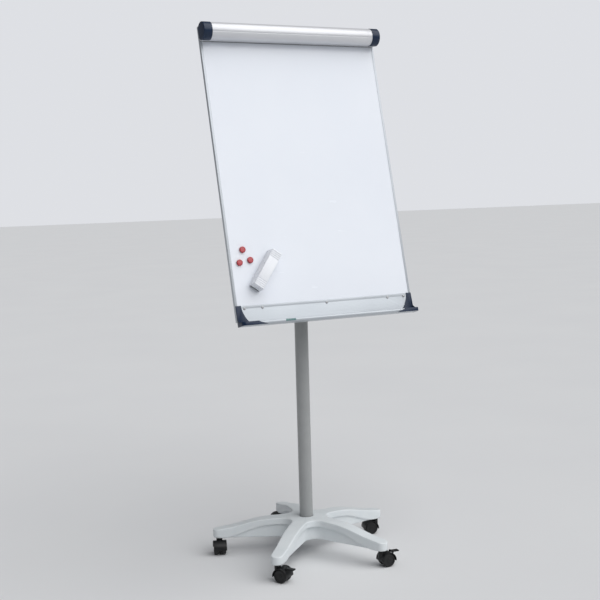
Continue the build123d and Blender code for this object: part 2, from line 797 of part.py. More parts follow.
slide_room = gap
pin_chamfer = 1.0
pin_foot = track_height + 0.4    # where a pin leaves its neck, clear of the track
for side, word in ((-1, "left"), (1, "right")):
    with BuildPart() as pad_hook:
        with BuildSketch(board.offset(plate_wall + slide_room)):
            with Locations((side * pad_pin_place, pad_pin_height)):
                Rectangle(22, 2 * (track_half - slide_room))
        extrude(amount=track_height - track_lip - plate_wall - 2 * slide_room)
        with BuildSketch(board.offset(plate_wall + slide_room)):
            with Locations((side * pad_pin_place, pad_pin_height)):
                Circle(pin_slot_half - gap)
        extrude(amount=pin_foot - plate_wall - slide_room)
        with BuildSketch(board.offset(pin_foot)):
            with Locations((side * pad_pin_place, pad_pin_height)):
                Circle(pad_pin / 2)
        extrude(amount=pad_pin_reach - pin_foot)
        chamfer(pad_hook.faces().sort_by(Axis(board.origin, board.z_dir))[-1].edges(), pin_chamfer)
    keep(pad_hook, "pad_pin_" + word, "pad_pin_" + word)

grip_top = 4.6
seat_wall = 1.8
foot_point = ring_point(bar_centre, bar_radius, bar_foot_angle)
with BuildPart() as bar:
    with BuildSketch(across(-bar_end)):
        with BuildLine():
            front = CenterArc(bar_centre, bar_radius, 0, bar_foot_angle)
            inside = CenterArc(bar_centre, bar_radius - bar_wall, 0, bar_foot_angle)
            Line(front @ 0, inside @ 0)
            Line(front @ 1, inside @ 1)
        make_face()
        with Locations((foot_point[0], grip_top)):
            Rectangle(bar_wall, foot_point[1] - grip_top + 1, align=(Align.MIN, Align.MIN))
            Rectangle(grip_width, seat_wall, align=(Align.MIN, Align.MIN))
        with Locations(ring_point(bar_centre, bar_radius, 112)):
            Circle(1.0, mode=Mode.SUBTRACT)
    extrude(amount=2 * bar_end)
keep(bar, "clamp_bar", "clamp")

strip_half = between_sides / 2 - 1
with BuildPart() as grip_strip:
    with BuildSketch(across(-strip_half)) as strip_section:
        with Locations((foot_point[0], gap)):
            Rectangle(grip_width, grip_top - gap, align=(Align.MIN, Align.MIN))
        fillet(strip_section.vertices().group_by(Axis.Y)[0], 1.5)
    extrude(amount=2 * strip_half)
keep(grip_strip, "clamp_grip_strip", "clamp")

cap_radius = bar_radius + cap_wall
cap_back = 1.8
cap_bevel = 1.6
with BuildPart() as cap_left:
    with BuildSketch(across(-bar_end - cap_end + cap_bevel)) as cap_face:
        with Locations(bar_centre):
            Circle(cap_radius)
        with Locations((bar_height, cap_back - cap_radius)):
            Rectangle(4 * cap_radius, 2 * cap_radius, mode=Mode.SUBTRACT)
    extrude(amount=cap_end - cap_bevel)
    extrude(cap_face.sketch, amount=-cap_bevel, taper=40)
    with BuildSketch(across(-bar_end)):
        with BuildLine():
            sleeve = CenterArc(bar_centre, cap_radius, 0, bar_foot_angle)
            lining = CenterArc(bar_centre, bar_radius, 0, bar_foot_angle)
            Line(sleeve @ 0, lining @ 0)
            Line(sleeve @ 1, lining @ 1)
        make_face()
    extrude(amount=cap_width - cap_end)
    with BuildSketch(across(-bar_end)):
        with Locations(hinge):
            Circle(hinge_rod / 2 + 3)
    extrude(amount=boss_length)
    with BuildSketch(across(-rod_end - gap)):
        with Locations(hinge):
            Circle(hinge_rod / 2 + running)
    extrude(amount=boss_length + cap_end, mode=Mode.SUBTRACT)
with BuildPart() as cap_right:
    mirror(cap_left.part, about=Plane.YZ)
keep(cap_left, "clamp_cap_left", "clamp")
keep(cap_right, "clamp_cap_right", "clamp")

# ---- eraser and magnets -------------------------------------------------------------------------

turn = math.radians(eraser_turn)
eraser_plane = Plane(
    origin=out_of_board(*eraser_place, set_down),
    x_dir=board.x_dir * math.cos(turn) + board.y_dir * math.sin(turn), z_dir=board.z_dir,
)
rib_pitch = 7.0
rib_count = 4

felt_width = eraser_width - 6.0
felt_set_back = 1.5
eraser_foot = 2.0            # the grip's long sides reach down to here, past the felt

with BuildPart() as felt:
    with BuildSketch(eraser_plane):
        RectangleRounded(eraser_length - 2 * felt_set_back, felt_width, 4)
    extrude(amount=eraser_felt_height)
keep(felt, "eraser_felt", "eraser")

with BuildPart() as eraser:
    with BuildSketch(eraser_plane.offset(eraser_foot)):
        RectangleRounded(eraser_length, eraser_width, 5)
    extrude(amount=eraser_height - eraser_foot, taper=4)
    with BuildSketch(eraser_plane):
        Rectangle(2 * eraser_length, felt_width)
    extrude(amount=eraser_felt_height, mode=Mode.SUBTRACT)
    fillet(eraser.faces().sort_by(Axis(eraser_plane.origin, eraser_plane.z_dir))[-1].edges(), 2)
    with BuildSketch(eraser_plane.offset(eraser_height)):
        for side in (-1, 1):
            for rib in range(rib_count):
                with Locations((side * (eraser_length / 2 - 9 - rib * rib_pitch), 0)):
                    Rectangle(2.4, eraser_width)
    extrude(amount=-1.5, mode=Mode.SUBTRACT)
keep(eraser, "eraser_body", "eraser")

for number, place in enumerate(magnet_places, start=1):
    with BuildPart() as magnet:
        with BuildSketch(board.offset(set_down)):
            with Locations(place):
                Circle(magnet_diameter / 2)
        extrude(amount=magnet_height)
        fillet(magnet.faces().sort_by(Axis(board.origin, board.z_dir))[-1].edges(), 1.6)
    keep(magnet, f"magnet_{number}", f"magnet_{number}")

# ---- castors ------------------------------------------------------------------------------------

wheel_radius = wheel_diameter / 2
web_half = 3.6
wheel_inside = web_half + 1.6
wheel_outside = wheel_inside + wheel_width
hood_inner = wheel_radius + 1.2
hood_outer = hood_inner + hood_wall
neck_radius = stem_diameter / 2 + 6.0
flange_thickness = 2.6
neck_top = castor_height - flange_thickness
neck_foot = wheel_radius + 9.0
pedal_pivot = (castor_trail + wheel_radius - 4.5, wheel_diameter + 0.2)
pedal_tip = (castor_trail + wheel_radius + 23.0, wheel_diameter + 0.4)
pedal_wall = 4.0
pedal_half = 9.0
pedal_pin = 3.0
cheek_wall = 2.5

for number in range(1, arm_count + 1):
    stem_x, stem_y = castor_places[number - 1]
    heading = math.radians(castor_headings[number - 1])
    trailing = Vector(math.cos(heading), math.sin(heading), 0)
    # Section plane of the castor: its x trails behind the stem, its y is up, its z along the axle.
    side = Plane(origin=(stem_x, stem_y, 0), x_dir=trailing, z_dir=trailing.cross(Vector(0, 0, 1)))
    hub = (castor_trail, wheel_radius)
    braked = number in braked_castors

    with BuildPart() as hood:
        with BuildSketch(side):
            with Locations(hub):
                Circle(hood_outer)
            Rectangle(6 * wheel_diameter, 2 * wheel_radius - 6, mode=Mode.SUBTRACT)
        extrude(amount=castor_width / 2, both=True)
        with BuildSketch(Plane(origin=(stem_x, stem_y, neck_foot))):
            Circle(neck_radius)
        extrude(amount=neck_top - neck_foot)
        with BuildSketch(side.offset(web_half)):
            with Locations(hub):
                Circle(hood_inner)
        extrude(amount=castor_width, mode=Mode.SUBTRACT)
        with BuildSketch(side.offset(-web_half)):
            with Locations(hub):
                Circle(hood_inner)
        extrude(amount=-castor_width, mode=Mode.SUBTRACT)
        with BuildSketch(side):
            with Locations(hub):
                Circle(hood_inner - 4)
        extrude(amount=web_half, both=True)
        if braked:
            for cheek in (-1, 1):
                with BuildSketch(side.offset(cheek * (pedal_half + gap))):
                    with Locations(pedal_pivot):
                        Circle(pedal_pin / 2 + 2.6)
                    with Locations((pedal_pivot[0] - 2, pedal_pivot[1] - 6)):
                        Rectangle(9, 9)
                    with Locations(hub):
                        Circle(hood_inner + 0.6, mode=Mode.SUBTRACT)
                extrude(amount=cheek * cheek_wall)
            with BuildSketch(side):
                with Locations(pedal_pivot):
                    Circle(pedal_pin / 2 + running)
            extrude(amount=castor_width, both=True, mode=Mode.SUBTRACT)
        with BuildSketch(side):
            with Locations(hub):
                Circle(axle_diameter / 2)
        extrude(amount=castor_width, both=True, mode=Mode.SUBTRACT)
        with BuildSketch(Plane(origin=(stem_x, stem_y, wheel_radius + axle_diameter + 4))):
            Circle(stem_diameter / 2 - 1)
        extrude(amount=castor_height, mode=Mode.SUBTRACT)
    keep(hood, f"castor_{number}_hood", f"castor_{number}")

    with BuildPart() as stem:
        with BuildSketch(Plane(origin=(stem_x, stem_y, wheel_radius + axle_diameter + 4))):
            Circle(stem_diameter / 2 - 1)
        extrude(amount=neck_top - wheel_radius - axle_diameter - 4)
        with BuildSketch(Plane(origin=(stem_x, stem_y, neck_top))):
            Circle(stem_diameter / 2 + 4)
        extrude(amount=flange_thickness)
        with BuildSketch(Plane(origin=(stem_x, stem_y, castor_height))):
            Circle(stem_diameter / 2)
        extrude(amount=stem_length)
        chamfer(stem.edges().group_by(Axis.Z)[-1], 1)
    with BuildPart() as axle:
        with BuildSketch(side):
            with Locations(hub):
                Circle(axle_diameter / 2)
        extrude(amount=wheel_outside - 2.5, both=True)
    keep(stem, f"castor_{number}_stem_and_axle", f"castor_{number}", axle)

    for way, word in ((-1, "left"), (1, "right")):
        with BuildPart() as wheel:
            with BuildSketch(side.offset(way * wheel_inside)):
                with Locations(hub):
                    Circle(wheel_radius)
            extrude(amount=way * wheel_width)
            fillet(wheel.edges(), 2.5)
            with BuildSketch(side.offset(way * wheel_outside)):
                with Locations(hub):
                    Circle(wheel_radius - 5)
                    Circle(axle_diameter / 2 + 4, mode=Mode.SUBTRACT)
            extrude(amount=-2 * way, mode=Mode.SUBTRACT)
            with BuildSketch(side.offset(way * wheel_inside)):
                with Locations(hub):
                    Circle(axle_diameter / 2 + running)
            extrude(amount=way * (wheel_width - 2.2), mode=Mode.SUBTRACT)
        keep(wheel, f"castor_{number}_wheel_{word}", f"castor_{number}_wheel_{word}")

    if braked:
        with BuildPart() as pedal:
            with BuildSketch(side):
                with Locations(pedal_pivot):
                    Circle(pedal_pin / 2 + 1.3)
                with BuildLine():
                    Polyline(
                        (pedal_pivot[0], pedal_pivot[1] + pedal_wall - 0.8),
                        (pedal_pivot[0] + 12, pedal_pivot[1] + pedal_wall - 1.4),
                        (pedal_tip[0], pedal_tip[1] + pedal_wall / 2),
                        (pedal_tip[0], pedal_tip[1] - pedal_wall / 2),
                        (pedal_pivot[0] + 12, pedal_pivot[1] - 1.4), (pedal_pivot[0], pedal_pivot[1] - 0.8),
                        close=True,
                    )
                make_face()
            extrude(amount=pedal_half, both=True)
            with BuildSketch(side):
                with Locations(pedal_pivot):
                    Circle(pedal_pin / 2)
            extrude(amount=pedal_half + gap + cheek_wall, both=True)
        keep(pedal, f"castor_{number}_brake_pedal", f"castor_{number}_pedal")

# ---- place the whole and write it ---------------------------------------------------------------

box = Compound([solid for solids in pieces.values() for solid in solids]).bounding_box()
shift = Vector(-(box.min.X + box.max.X) / 2, -(box.min.Y + box.max.Y) / 2, -box.min.Z)
os.makedirs("parts", exist_ok=True)
for name, solids in pieces.items():
    placed = [solid.moved(Location(shift)) for solid in solids]
    whole = placed[0] if len(placed) == 1 else Compound(placed)
    whole.label = name
    export_step(whole, f"parts/{name}.step")
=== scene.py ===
import json
import math

import bpy
from mathutils import Matrix, Vector


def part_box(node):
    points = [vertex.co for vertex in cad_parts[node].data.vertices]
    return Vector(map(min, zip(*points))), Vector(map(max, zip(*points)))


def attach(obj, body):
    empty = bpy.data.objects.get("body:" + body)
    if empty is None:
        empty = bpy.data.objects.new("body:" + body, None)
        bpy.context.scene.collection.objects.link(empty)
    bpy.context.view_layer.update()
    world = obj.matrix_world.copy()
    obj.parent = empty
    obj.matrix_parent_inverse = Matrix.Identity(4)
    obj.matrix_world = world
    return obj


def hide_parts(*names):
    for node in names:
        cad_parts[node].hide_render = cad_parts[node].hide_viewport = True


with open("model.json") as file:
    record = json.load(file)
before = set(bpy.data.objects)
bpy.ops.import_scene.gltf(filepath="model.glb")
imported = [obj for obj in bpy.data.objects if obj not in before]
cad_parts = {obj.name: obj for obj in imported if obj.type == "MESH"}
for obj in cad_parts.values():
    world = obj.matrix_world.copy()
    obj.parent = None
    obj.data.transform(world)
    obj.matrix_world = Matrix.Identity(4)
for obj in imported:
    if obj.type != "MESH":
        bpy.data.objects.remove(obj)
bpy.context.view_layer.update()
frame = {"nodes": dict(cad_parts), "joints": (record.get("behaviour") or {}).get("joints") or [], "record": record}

# ---- Viewer, floor and light -------------------------------------------------------------------
# A standing viewer, left of the middle and four metres off, with a short telephoto lens. The easel
# stands on a plain pale floor, under one very wide soft light from above, in front and to the right.

joints = {joint["name"]: joint for joint in frame["joints"]}
column_foot = Vector((joints["column_turn"]["pos_m"][0], joints["column_turn"]["pos_m"][1], 0))
camera_turn = math.radians(26.14)      # to the right of square-on
camera_dip = math.radians(5.92)
camera_roll = math.radians(-1.59)
viewer_place = Vector((-1.7745, -3.6121, 1.3765))    # from the column's foot
bpy.ops.object.select_all(action="DESELECT")
bpy.ops.object.camera_add(location=column_foot + viewer_place)
camera = bpy.context.object
camera.rotation_euler = (
    Matrix.Rotation(-camera_turn, 3, "Z")
    @ Matrix.Rotation(math.radians(90) - camera_dip, 3, "X")
    @ Matrix.Rotation(camera_roll, 3, "Z")
).to_euler()
camera.data.lens = 65.26
camera.data.sensor_width = 36
camera.data.clip_end = 100
bpy.context.scene.camera = camera
bpy.context.scene.view_settings.view_transform = "Standard"


def srgb(code):
    """Linear colour of an sRGB hex code."""
    channels = [int(code[start:start + 2], 16) / 255 for start in (1, 3, 5)]
    return (*[c / 12.92 if c <= 0.04045 else ((c + 0.055) / 1.055) ** 2.4 for c in channels], 1.0)


def add_node(material, kind, inputs=None, **settings):
    """Add a node, or take the one there is; each input is a plain value or another node's output."""
    nodes = material.node_tree.nodes
    node = nodes[kind] if kind in nodes else nodes.new(kind)
    for name, value in settings.items():
        setattr(node, name, value)
    for name, value in (inputs or {}).items():
        if isinstance(value, bpy.types.NodeSocket):
            material.node_tree.links.new(value, node.inputs[name])
        else:
            node.inputs[name].default_value = value
    return node


def new_material(name):
    """A new material and the places on its piece, in metres."""
    material = bpy.data.materials.new(name)
    material.use_nodes = True
    return material, add_node(material, "ShaderNodeTexCoord").outputs["Object"]


# Matt studio paint, a little uneven where it was rolled.
floor_paint, places = new_material("matt_floor_paint")
rolled = add_node(floor_paint, "ShaderNodeTexNoise", {"Vector": places, "Scale": 1.2, "Detail": 2.0})
tone = add_node(floor_paint, "ShaderNodeMixRGB", {
    "Fac": rolled.outputs["Fac"], "Color1": srgb("#dcdddf"), "Color2": srgb("#e1e2e3"),
})
add_node(floor_paint, "Principled BSDF", {"Base Color": tone.outputs["Color"], "Roughness": 0.95})
floor_width = 90
bpy.ops.mesh.primitive_plane_add(size=floor_width)
floor = bpy.context.object
floor.name = "studio_floor"
floor.data.materials.append(floor_paint)

# Pale walls stand around the easel. They look brighter than the little light they give it.
studio_air = bpy.data.worlds.new("studio_air")
bpy.context.scene.world = studio_air
studio_air.use_nodes = True
ray = add_node(studio_air, "ShaderNodeLightPath")
strength = add_node(studio_air, "ShaderNodeMapRange", {
    "Value": ray.outputs["Is Camera Ray"], "To Min": 0.2, "To Max": 0.78,
})
add_node(studio_air, "Background", {"Color": srgb("#f8faff"), "Strength": strength.outputs["Result"]})

bpy.ops.object.light_add(type="SUN", location=(2, -3, 4))
soft_roof = bpy.context.object
soft_roof.name = "soft_roof_light"
soft_roof.data.energy = 2.6
soft_roof.data.angle = math.radians(75)
soft_roof.rotation_euler = Vector((-1.3, 2.2, -3.4)).to_track_quat("-Z", "Y").to_euler()

# ---- Star base ---------------------------------------------------------------------------------
# One injection moulding of glass-filled nylon: five arms that fall from a hub to rounded tips, with
# a skirt along each arm and an inset web below it. Satin, with the fine texture of its mould.

body_of = {node: body for body, nodes in frame["record"]["behaviour"]["bodies"].items() for node in nodes}


def select_only(piece):
    """Leave edit mode, and select one piece and nothing else."""
    if bpy.context.mode != "OBJECT":
        bpy.ops.object.mode_set(mode="OBJECT")
    bpy.ops.object.select_all(action="DESELECT")
    piece.select_set(True)
    bpy.context.view_layer.objects.active = piece


def cast_of(node):
    """A welded copy of a CAD piece, to be finished, with its flat faces made whole."""
    piece = bpy.data.objects.new(node + "_finished", frame["nodes"][node].data.copy())
    bpy.context.scene.collection.objects.link(piece)
    select_only(piece)
    bpy.ops.object.mode_set(mode="EDIT")
    bpy.ops.mesh.select_all(action="SELECT")
    bpy.ops.mesh.remove_doubles(threshold=0.00001)
    bpy.ops.mesh.dissolve_limited(angle_limit=math.radians(0.5))
    bpy.ops.object.mode_set(mode="OBJECT")
    return piece


def apply_modifiers(piece):
    """Apply a piece's modifiers in their order."""
    select_only(piece)
    for modifier in list(piece.modifiers):
        bpy.ops.object.modifier_apply(modifier=modifier.name)


def fit_piece(piece, material, *nodes):
    """Give a piece its material and let it stand for CAD nodes, on their body."""
    piece.data.materials.clear()
    piece.data.materials.append(material)
    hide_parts(*nodes)
    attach(piece, body_of[nodes[0]])


nylon_pale, places = new_material("glass_filled_nylon_pale_grey")
clouds = add_node(nylon_pale, "ShaderNodeTexNoise", {"Vector": places, "Scale": 22.0, "Detail": 4.0})
# Spark texture of the mould, drawn at 1.2 mm because the real 0.2 mm is too fine to show.
spark = add_node(nylon_pale, "ShaderNodeTexNoise", {"Vector": places, "Scale": 830.0, "Detail": 2.0})
tone = add_node(nylon_pale, "ShaderNodeMixRGB", {
    "Fac": clouds.outputs["Fac"], "Color1": srgb("#d8dfe2"), "Color2": srgb("#e4e8ea"),
})
gloss = add_node(nylon_pale, "ShaderNodeMapRange", {
    "Value": clouds.outputs["Fac"], "To Min": 0.3, "To Max": 0.52,
})
bump = add_node(nylon_pale, "ShaderNodeBump", {"Height": spark.outputs["Fac"], "Distance": 0.00006})
add_node(nylon_pale, "Principled BSDF", {
    "Base Color": tone.outputs["Color"], "Roughness": gloss.outputs["Result"],
    "Normal": bump.outputs["Normal"], "IOR": 1.53,
})

# The arms, the hub and the webs are made one skin, and smoothing gives it a mould's soft radii.
star = cast_of("star_base")
one_skin = star.modifiers.new("one_skin", "REMESH")
one_skin.mode = "VOXEL"
one_skin.voxel_size = 0.0022
mould_radii = star.modifiers.new("mould_radii", "SMOOTH")
mould_radii.factor = 0.5
mould_radii.iterations = 9
apply_modifiers(star)
bpy.ops.object.shade_smooth()
fit_piece(star, nylon_pale, "star_base")

# ---- Castor sockets, stems and axles -----------------------------------------------------------
# Turned steel with bright zinc plating, barrel plated, so the tone is a little uneven. The sockets
# are moulded into the arm tips, the stems snap into them, and the wheels turn on the axles.


def ease_edges(piece, width, segments=2):
    """Round a piece's sharp edges, as a mould or tumbling does, and shade its curves smooth."""
    edges = piece.modifiers.new("eased_edges", "BEVEL")
    edges.width = width
    edges.segments = segments
    edges.limit_method = "ANGLE"
    edges.angle_limit = math.radians(35)
    edges.miter_outer = "MITER_ARC"
    apply_modifiers(piece)
    bpy.ops.object.shade_smooth_by_angle(angle=math.radians(40))


def finish(node, material, width, segments=2):
    """Stand for a CAD piece with a copy that has eased edges."""
    piece = cast_of(node)
    ease_edges(piece, width, segments)
    fit_piece(piece, material, node)


zinc_plate, places = new_material("zinc_plated_steel")
plating = add_node(zinc_plate, "ShaderNodeTexNoise", {"Vector": places, "Scale": 160.0, "Detail": 4.0})
turning = add_node(zinc_plate, "ShaderNodeTexNoise", {"Vector": places, "Scale": 1250.0, "Detail": 2.0})
tone = add_node(zinc_plate, "ShaderNodeMixRGB", {
    "Fac": plating.outputs["Fac"], "Color1": srgb("#98999b"), "Color2": srgb("#b6b7b9"),
})
gloss = add_node(zinc_plate, "ShaderNodeMapRange", {
    "Value": plating.outputs["Fac"], "To Min": 0.2, "To Max": 0.42,
})
bump = add_node(zinc_plate, "ShaderNodeBump", {"Height": turning.outputs["Fac"], "Distance": 0.00002})
add_node(zinc_plate, "Principled BSDF", {
    "Base Color": tone.outputs["Color"], "Roughness": gloss.outputs["Result"],
    "Normal": bump.outputs["Normal"], "Metallic": 1.0,
})

castors = range(1, 6)
turned_edge = 0.0004                   # easing of a turned steel edge
finish("castor_sockets", zinc_plate, turned_edge)
for number in castors:
    finish(f"castor_{number}_stem_and_axle", zinc_plate, turned_edge)

# ---- Castor hoods and brake pedals -------------------------------------------------------------
# Black nylon mouldings with a light grain. A hood covers each pair of wheels. Two castors have a
# pedal, which turns on the hood and jams their wheels.

nylon_black, places = new_material("black_nylon_moulded")
clouds = add_node(nylon_black, "ShaderNodeTexNoise", {"Vector": places, "Scale": 100.0, "Detail": 4.0})
grain = add_node(nylon_black, "ShaderNodeTexNoise", {"Vector": places, "Scale": 1100.0, "Detail": 2.0})
tone = add_node(nylon_black, "ShaderNodeMixRGB", {
    "Fac": clouds.outputs["Fac"], "Color1": srgb("#08090b"), "Color2": srgb("#111215"),
})
gloss = add_node(nylon_black, "ShaderNodeMapRange", {
    "Value": clouds.outputs["Fac"], "To Min": 0.3, "To Max": 0.55,
})
bump = add_node(nylon_black, "ShaderNodeBump", {"Height": grain.outputs["Fac"], "Distance": 0.00005})
add_node(nylon_black, "Principled BSDF", {
    "Base Color": tone.outputs["Color"], "Roughness": gloss.outputs["Result"],
    "Normal": bump.outputs["Normal"], "IOR": 1.53, "Specular IOR Level": 0.35,
})

braked_castors = (1, 2)
for number in castors:
    finish(f"castor_{number}_hood", nylon_black, 0.0028, 4)
for number in braked_castors:
    finish(f"castor_{number}_brake_pedal", nylon_black, 0.0008, 3)

# ---- Castor wheels -----------------------------------------------------------------------------
# Twin wheels, one each side of the hood: discs with a rounded polyurethane tread, a dished outer
# face and a raised hub cap. They are dull, and a little scuffed from the floor.

tread, places = new_material("polyurethane_tread")
scuffs = add_node(tread, "ShaderNodeTexNoise", {
    "Vector": places, "Scale": 90.0, "Detail": 5.0, "Roughness": 0.6,
})
grit = add_node(tread, "ShaderNodeTexNoise", {"Vector": places, "Scale": 900.0, "Detail": 3.0})
tone = add_node(tread, "ShaderNodeMixRGB", {
    "Fac": scuffs.outputs["Fac"], "Color1": srgb("#060708"), "Color2": srgb("#151618"),
})
gloss = add_node(tread, "ShaderNodeMapRange", {
    "Value": scuffs.outputs["Fac"], "To Min": 0.38, "To Max": 0.7,
})
bump = add_node(tread, "ShaderNodeBump", {"Height": grit.outputs["Fac"], "Distance": 0.00008})
add_node(tread, "Principled BSDF", {
    "Base Color": tone.outputs["Color"], "Roughness": gloss.outputs["Result"],
    "Normal": bump.outputs["Normal"], "IOR": 1.5,
})


def select_where(piece, kind, test):
    """Go into edit mode with the vertices, edges or faces selected that pass a test."""
    select_only(piece)
    bpy.ops.object.mode_set(mode="EDIT")
    bpy.ops.mesh.select_mode(type=kind)
    bpy.ops.mesh.select_all(action="DESELECT")
    bpy.ops.object.mode_set(mode="OBJECT")
    mesh = piece.data
    for part in {"VERT": mesh.vertices, "EDGE": mesh.edges, "FACE": mesh.polygons}[kind]:
        part.select = test(part)
    bpy.ops.object.mode_set(mode="EDIT")


def push(distance):
    """Extrude what is selected along z."""
    bpy.ops.mesh.extrude_region_move(TRANSFORM_OT_translate={"value": (0, 0, distance)})


def edge_height(piece, edge):
    """Height of a level edge, or None where the edge isn't level."""
    low, high = (piece.data.vertices[index].co.z for index in edge.vertices)
    return low if abs(low - high) < 0.00001 else None


def copy_to(piece, name, place):
    """A copy of a piece, with its own mesh, at its place."""
    mesh = piece.data.copy()
    mesh.transform(place)
    copy = bpy.data.objects.new(name, mesh)
    bpy.context.scene.collection.objects.link(copy)
    return copy


def facing(point, direction):
    """Place that turns the z axis to a direction and moves the origin to a point."""
    turned = Vector(direction).to_track_quat("Z", "Y").to_matrix().to_4x4()
    return Matrix.Translation(Vector(point)) @ turned


wheel_radius = 0.025
wheel_inside = 0.0052                  # inner face, from the middle of the castor
wheel_outside = 0.0222
tread_round = 0.0045
rim_width = 0.0022
dish_depth = 0.0021
dish_width = 0.0112
cap_rise = 0.0018
cap_rim = 0.0032
cap_dip = 0.0007
bpy.ops.object.select_all(action="DESELECT")
bpy.ops.mesh.primitive_cylinder_add(
    vertices=56, radius=wheel_radius, depth=wheel_outside - wheel_inside,
    location=(0, 0, (wheel_inside + wheel_outside) / 2),
)
wheel = bpy.context.object
bpy.ops.object.transform_apply(location=True)
select_where(wheel, "EDGE", lambda edge: edge_height(wheel, edge) is not None)
bpy.ops.mesh.bevel(offset=tread_round, segments=5)
select_where(wheel, "FACE", lambda face: face.normal.z > 0.99)
for ring, step in ((rim_width, -dish_depth), (dish_width, cap_rise), (cap_rim, -cap_dip)):
    bpy.ops.mesh.inset(thickness=ring)
    push(step)
bpy.ops.object.mode_set(mode="OBJECT")
ease_edges(wheel, 0.0004, 3)

for number in castors:
    for side, way in (("left", -1), ("right", 1)):
        roll = joints[f"castor_{number}_roll_{side}"]
        outwards = facing(roll["pos_m"], way * Vector(roll["axis"]))
        twin = copy_to(wheel, f"castor_{number}_{side}_twin", outwards)
        fit_piece(twin, tread, f"castor_{number}_wheel_{side}")
bpy.data.objects.remove(wheel)

# ---- Column ------------------------------------------------------------------------------------
# Two drawn steel tubes, powder coated warm grey, with the coat's fine orange peel. The outer one is
# pulled down into the hub by a bolt. The inner one slides and turns in it, on a nylon bush.

powder_coat, places = new_material("grey_powder_coat_on_steel")
clouds = add_node(powder_coat, "ShaderNodeTexNoise", {"Vector": places, "Scale": 30.0, "Detail": 3.0})
# Orange peel: waves of about 1.5 mm.
peel = add_node(powder_coat, "ShaderNodeTexNoise", {"Vector": places, "Scale": 660.0, "Detail": 1.0})
tone = add_node(powder_coat, "ShaderNodeMixRGB", {
    "Fac": clouds.outputs["Fac"], "Color1": srgb("#9a9c9c"), "Color2": srgb("#a5a7a7"),
})
gloss = add_node(powder_coat, "ShaderNodeMapRange", {
    "Value": clouds.outputs["Fac"], "To Min": 0.3, "To Max": 0.45,
})
bump = add_node(powder_coat, "ShaderNodeBump", {"Height": peel.outputs["Fac"], "Distance": 0.00005})
add_node(powder_coat, "Principled BSDF", {
    "Base Color": tone.outputs["Color"], "Roughness": gloss.outputs["Result"],
    "Normal": bump.outputs["Normal"], "IOR": 1.5, "Coat Weight": 0.2, "Coat Roughness": 0.2,
})

tube_wall = 0.002
for node in ("column_outer_tube", "column_inner_tube"):
    low, high = (Vector(corner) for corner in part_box(node))
    bpy.ops.object.select_all(action="DESELECT")
    bpy.ops.mesh.primitive_cylinder_add(
        vertices=96, radius=(high.x - low.x) / 2, depth=high.z - low.z, end_fill_type="NOTHING",
        location=(low + high) / 2,
    )
    tube = bpy.context.object
    tube.name = node + "_finished"
    bpy.ops.object.transform_apply(location=True)
    wall = tube.modifiers.new("wall", "SOLIDIFY")
    wall.thickness = tube_wall
    wall.offset = -1
    ease_edges(tube, turned_edge)
    fit_piece(tube, powder_coat, node)

finish("column_foot_bolt", zinc_plate, turned_edge)
finish("column_collar", nylon_black, 0.0012, 3)
finish("glide_bush", nylon_black, 0.0005)
finish("height_knob", nylon_black, 0.0015, 3)

# ---- Head and tilt bracket ---------------------------------------------------------------------
# A steel head on the inner tube and a folded steel bracket on the board, both powder coated. One
# bolt joins them, and a lobed black hand knob on it clamps the board's lean.

finish("head_block", powder_coat, 0.0008, 3)
finish("tilt_bracket", powder_coat, 0.0008, 3)
finish("tilt_bolt", zinc_plate, 0.0005)
finish("tilt_knob", nylon_black, 0.0015, 3)

# ---- Board -------------------------------------------------------------------------------------
# A sandwich: enamelled steel in front, paper honeycomb, and a galvanised sheet behind. The enamel
# is glossy, with soft streaks from wiping and a very slight waviness that shows in its reflections.

enamel, places = new_material("vitreous_enamel_on_steel")
clouds = add_node(enamel, "ShaderNodeTexNoise", {"Vector": places, "Scale": 3.0, "Detail": 3.0})
along_wipe = add_node(enamel, "ShaderNodeMapping", {"Vector": places, "Scale": (1.0, 5.0, 5.0)})
streaks = add_node(enamel, "ShaderNodeTexNoise", {
    "Vector": along_wipe.outputs["Vector"], "Scale": 9.0, "Detail": 4.0,
})
waves = add_node(enamel, "ShaderNodeTexNoise", {"Vector": places, "Scale": 12.0, "Detail": 1.0})
tone = add_node(enamel, "ShaderNodeMixRGB", {
    "Fac": clouds.outputs["Fac"], "Color1": srgb("#dfe4ed"), "Color2": srgb("#e8ecf3"),
})
gloss = add_node(enamel, "ShaderNodeMapRange", {
    "Value": streaks.outputs["Fac"], "To Min": 0.1, "To Max": 0.34,
})
bump = add_node(enamel, "ShaderNodeBump", {"Height": waves.outputs["Fac"], "Distance": 0.0003})
add_node(enamel, "Principled BSDF", {
    "Base Color": tone.outputs["Color"], "Roughness": gloss.outputs["Result"],
    "Normal": bump.outputs["Normal"], "IOR": 1.52, "Coat Weight": 0.3, "Coat Roughness": 0.05,
})
frame["nodes"]["writing_sheet"].material_slots[0].material = enamel

# Cells of 12 mm in brown paper, seen only where the frame is off.
kraft, places = new_material("kraft_paper_honeycomb")
cells = add_node(
    kraft, "ShaderNodeTexVoronoi", {"Vector": places, "Scale": 83.0}, feature="DISTANCE_TO_EDGE",
)
tone = add_node(kraft, "ShaderNodeMixRGB", {
    "Fac": cells.outputs["Distance"], "Color1": srgb("#8d744f"), "Color2": srgb("#c0a374"),
})
bump = add_node(kraft, "ShaderNodeBump", {"Height": cells.outputs["Distance"], "Distance": 0.0004})
add_node(kraft, "Principled BSDF", {
    "Base Color": tone.outputs["Color"], "Roughness": 0.9, "Normal": bump.outputs["Normal"],
})
frame["nodes"]["board_core"].material_slots[0].material = kraft

